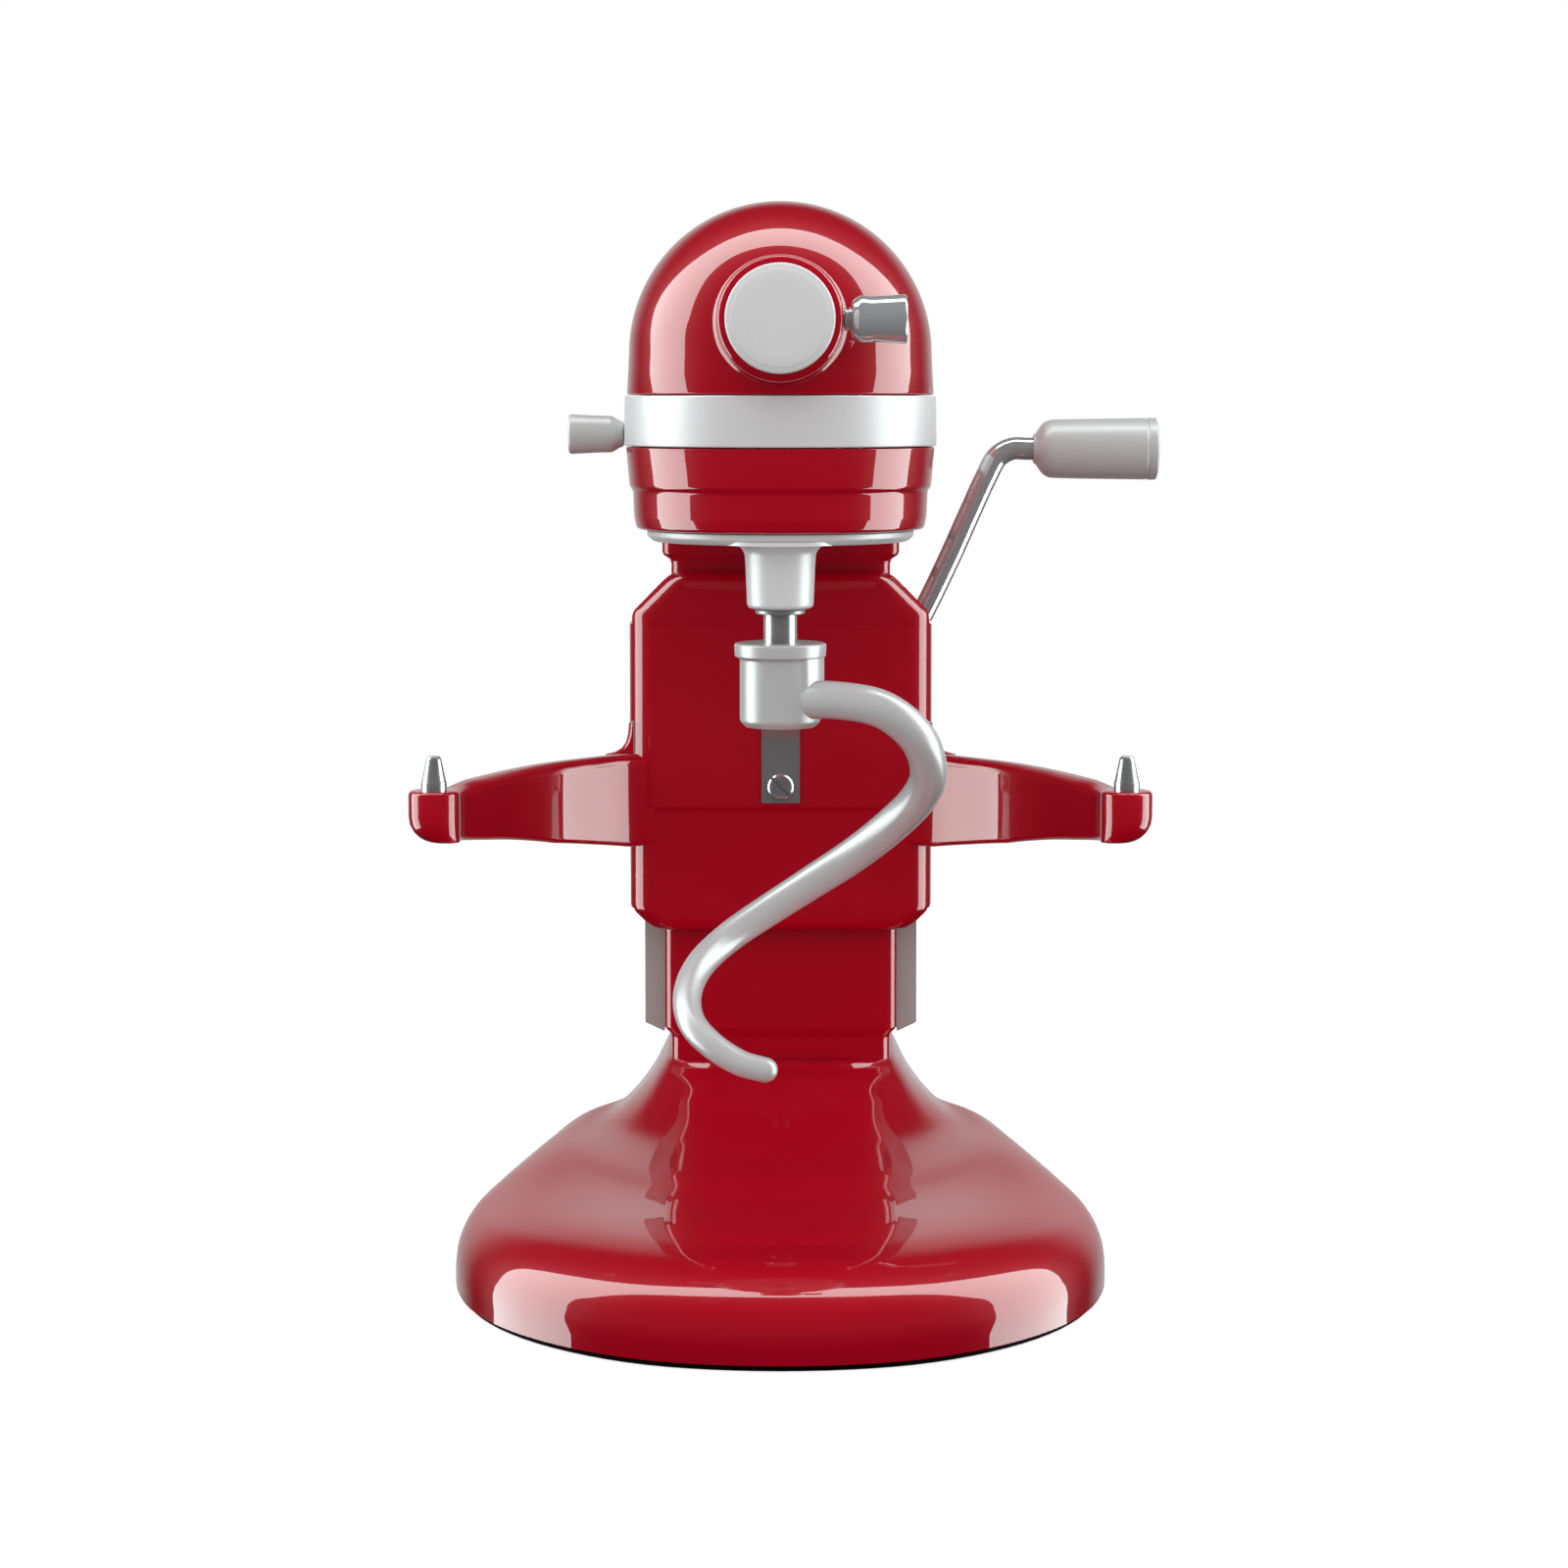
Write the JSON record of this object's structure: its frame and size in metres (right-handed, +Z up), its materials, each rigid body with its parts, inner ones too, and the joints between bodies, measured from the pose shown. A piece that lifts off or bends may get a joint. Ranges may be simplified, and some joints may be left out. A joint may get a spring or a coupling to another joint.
{
  "type": "stand mixer",
  "caption": "Bowl-lift stand mixer with a planetary dough hook, a lift yoke with bowl pins, a crank handle, a speed lever and an attachment hub, with its gear drive inside.",
  "frame": {"origin": "middle of the bounding box on the worktop, under the rubber feet", "axes": "+Z up, -Y towards the front of the mixer, where the attachment hub is, +X towards the lift handle's grip"},
  "size_m": [0.307, 0.371, 0.419],
  "materials": {
    "red_enamel": "gloss enamel",
    "silver_paint": "satin",
    "chrome": "polished",
    "steel": "satin",
    "dark_steel": "brushed",
    "cast_alloy": "as cast",
    "bronze": "machined",
    "hook_coating": "satin pearl-grey coating",
    "rubber": "matte",
    "black_plastic": "matte",
    "laminated_iron": "varnished laminations",
    "copper": "machined",
    "circuit_board": "matte"
  },
  "bodies": {
    "stand": {"base_casting": "red_enamel", "rubber_foot_1": "rubber", "rubber_foot_2": "rubber", "rubber_foot_3": "rubber", "rubber_foot_4": "rubber", "rubber_foot_5": "rubber", "column_bolt_1": "dark_steel", "column_bolt_2": "dark_steel", "column_bolt_3": "dark_steel", "column_bolt_4": "dark_steel", "column_casting": "red_enamel", "guide_rail_left": "silver_paint", "guide_rail_right": "silver_paint", "handle_bush": "bronze", "head_lower_casing": "red_enamel", "trim_band": "silver_paint", "head_upper_casing": "red_enamel", "rear_cover": "red_enamel", "rear_cover_screw": "steel", "cord_gland": "black_plastic", "ring_gear": "steel", "centre_bearing": "steel", "gear_bracket": "cast_alloy", "front_bearing": "steel", "motor_stator": "laminated_iron", "motor_end_frame": "cast_alloy", "rear_bearing": "steel", "motor_brush_left": "copper", "motor_brush_right": "copper", "control_board": "circuit_board", "hub_bush": "bronze"},
    "armature": {"armature_shaft": "steel", "armature_core": "laminated_iron", "commutator": "copper", "cooling_fan": "black_plastic"},
    "countershaft": {"pinion_shaft": "steel", "worm_wheel": "bronze"},
    "planetary": {"planetary_carrier": "silver_paint", "drip_ring": "silver_paint", "centre_shaft": "steel", "main_gear": "steel", "centre_bevel_gear": "steel"},
    "beater": {"beater_shaft": "steel", "planet_pinion": "steel", "retaining_ring": "dark_steel", "beater_drive_pin": "steel"},
    "hub_drive": {"hub_drive_gear": "steel"},
    "hub_cap": {"hub_cap": "silver_paint"},
    "attachment_knob": {"attachment_knob": "chrome"},
    "dough_hook": {"dough_hook": "hook_coating"},
    "bowl_lift": {"bowl_bracket": "red_enamel", "bowl_pin_left": "steel", "bowl_pin_right": "steel", "latch_spring": "dark_steel", "latch_screw": "dark_steel"},
    "lift_handle": {"handle_rod": "chrome", "handle_grip": "silver_paint", "lift_crank": "dark_steel"},
    "speed_lever": {"speed_lever": "steel", "speed_knob": "silver_paint"}
  },
  "joints": [
    {"name": "planetary_spin", "type": "hinge", "parent": "stand", "child": "planetary", "pos_m": [-0.00975, -0.0645, 0.29], "axis": [0, 0, 1], "continuous": true},
    {"name": "beater_spin", "type": "hinge", "parent": "planetary", "child": "beater", "pos_m": [-0.00975, -0.0945, 0.28], "axis": [0, 0, 1], "continuous": true},
    {"name": "countershaft_spin", "type": "hinge", "parent": "stand", "child": "countershaft", "pos_m": [0.01725, -0.04069, 0.32], "axis": [0, 0, 1], "continuous": true},
    {"name": "armature_spin", "type": "hinge", "parent": "stand", "child": "armature", "pos_m": [-0.00975, 0.0355, 0.362], "axis": [0, 1, 0], "continuous": true},
    {"name": "hub_spin", "type": "hinge", "parent": "stand", "child": "hub_drive", "pos_m": [-0.00975, -0.1045, 0.3724], "axis": [0, 1, 0], "continuous": true},
    {"name": "bowl_lift_slide", "type": "slide", "parent": "stand", "child": "bowl_lift", "axis": [0, 0, -1], "range_m": [0, 0.035]},
    {"name": "lift_handle_turn", "type": "hinge", "parent": "stand", "child": "lift_handle", "pos_m": [0.04825, 0.1055, 0.242], "axis": [-1, 0, 0], "range_deg": [0, 110]},
    {"name": "speed_lever_slide", "type": "slide", "parent": "stand", "child": "speed_lever", "axis": [0, 1, 0], "range_m": [0, 0.045]},
    {"name": "hub_cap_slide", "type": "slide", "parent": "stand", "child": "hub_cap", "axis": [0, -1, 0], "range_m": [0, 0.03]},
    {"name": "attachment_knob_turn", "type": "hinge", "parent": "stand", "child": "attachment_knob", "pos_m": [0.02025, -0.1335, 0.3724], "axis": [1, 0, 0], "range_deg": [0, 360]},
    {"name": "dough_hook_slide", "type": "slide", "parent": "beater", "child": "dough_hook", "axis": [0, 0, -1], "range_m": [0, 0.032]}
  ],
  "couplings": [
    {"joint": "beater_spin", "follows": "planetary_spin", "ratio": -4},
    {"joint": "countershaft_spin", "follows": "planetary_spin", "ratio": -2},
    {"joint": "armature_spin", "follows": "planetary_spin", "ratio": -48},
    {"joint": "hub_spin", "follows": "planetary_spin", "ratio": -0.92308},
    {"joint": "lift_handle_turn", "follows": "bowl_lift_slide", "rad_per_m": 54.85}
  ]
}
